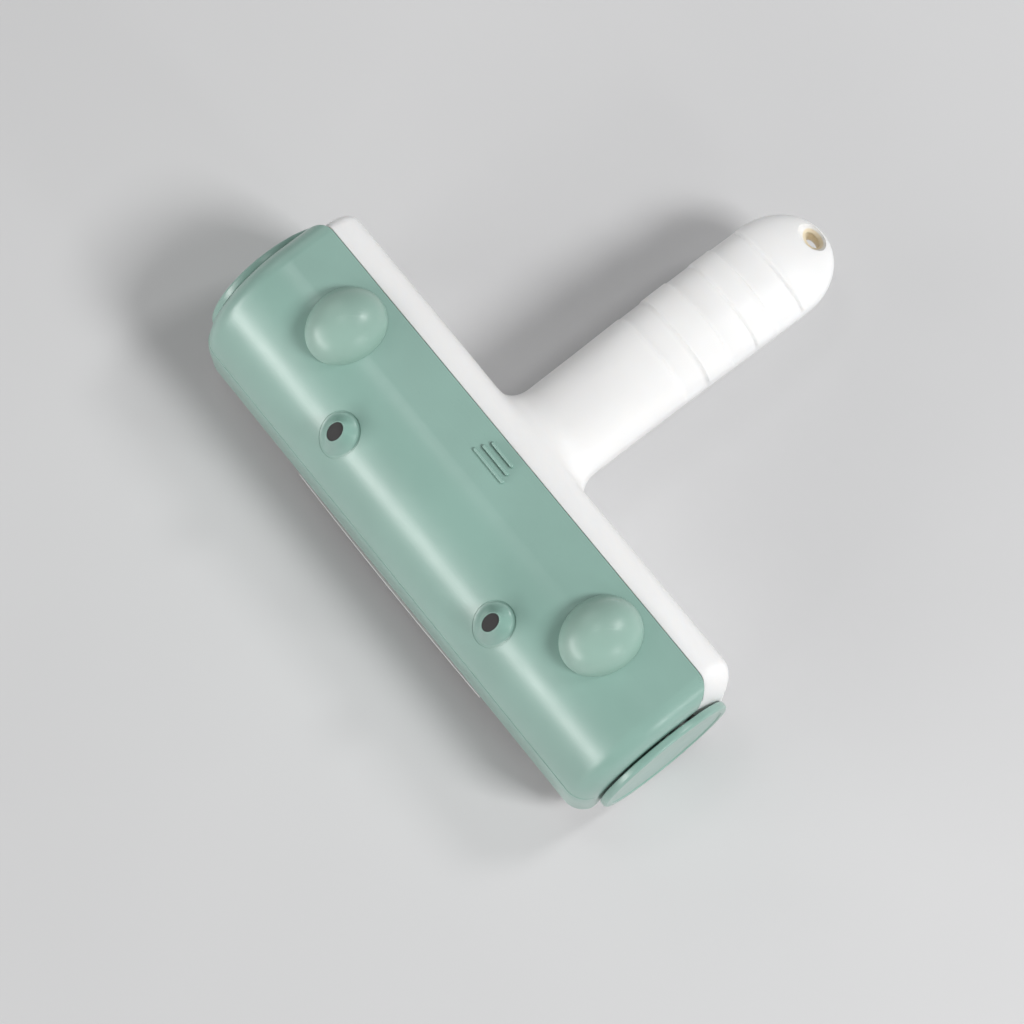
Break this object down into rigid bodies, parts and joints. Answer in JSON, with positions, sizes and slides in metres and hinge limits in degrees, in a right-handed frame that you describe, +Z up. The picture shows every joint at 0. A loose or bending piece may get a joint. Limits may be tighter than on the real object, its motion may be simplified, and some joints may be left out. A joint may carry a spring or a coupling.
{
  "type": "lint roller",
  "caption": "A reusable pet-hair lint roller with a wide head, a hinged hair-bin lid with round ears and eyes, a rocking fabric drum and a grip handle with a hanging hole.",
  "frame": {"origin": "Middle of the footprint, on the ground plane that the drum and the rear foot rest on.", "axes": "+X along the head, +Y from the head to the handle's tip, +Z up."},
  "size_m": [0.189, 0.1688, 0.0654],
  "materials": {
    "mint_plastic": "satin moulded surface",
    "white_plastic": "satin moulded surface",
    "pupil_plastic": "satin moulded surface",
    "lint_fabric": "short directional pile",
    "grey_rubber": "dull",
    "screw_steel": "zinc plated"
  },
  "bodies": {
    "frame": {"upper_housing": "white_plastic", "lower_housing": "white_plastic", "front_rail": "white_plastic", "scraper_front": "grey_rubber", "scraper_rear": "grey_rubber", "side_plate_left": "white_plastic", "side_plate_right": "white_plastic", "bearing_bush_left": "pupil_plastic", "bearing_bush_right": "pupil_plastic", "hinge_pin_left": "screw_steel", "hinge_pin_right": "screw_steel", "rear_plate_screw_left": "screw_steel", "rear_plate_screw_right": "screw_steel", "front_plate_screw_left": "screw_steel", "front_plate_screw_right": "screw_steel", "housing_screw_1": "screw_steel", "housing_screw_2": "screw_steel", "housing_screw_3": "screw_steel"},
    "lid": {"lid_shell": "mint_plastic", "ear_dome_left": "mint_plastic", "ear_dome_right": "mint_plastic", "eye_boss_left": "mint_plastic", "eye_boss_right": "mint_plastic", "pupil_left": "pupil_plastic", "pupil_right": "pupil_plastic"},
    "drum": {"drum_tub": "white_plastic", "drum_deck": "white_plastic", "centre_strip": "white_plastic", "fabric_pad_front": "lint_fabric", "fabric_pad_rear": "lint_fabric", "drum_end_left": "white_plastic", "drum_end_right": "white_plastic", "end_cap_left": "mint_plastic", "end_cap_right": "mint_plastic", "cap_screw_left": "screw_steel", "cap_screw_right": "screw_steel"}
  },
  "joints": [
    {"name": "lid_hinge", "type": "hinge", "parent": "frame", "child": "lid", "pos_m": [0, -0.0806, 0.014], "axis": [1, 0, 0], "range_deg": [0, 75]},
    {"name": "drum_rock", "type": "hinge", "parent": "frame", "child": "drum", "pos_m": [0, -0.0541, 0.024], "axis": [1, 0, 0], "range_deg": [-25, 25]}
  ]
}
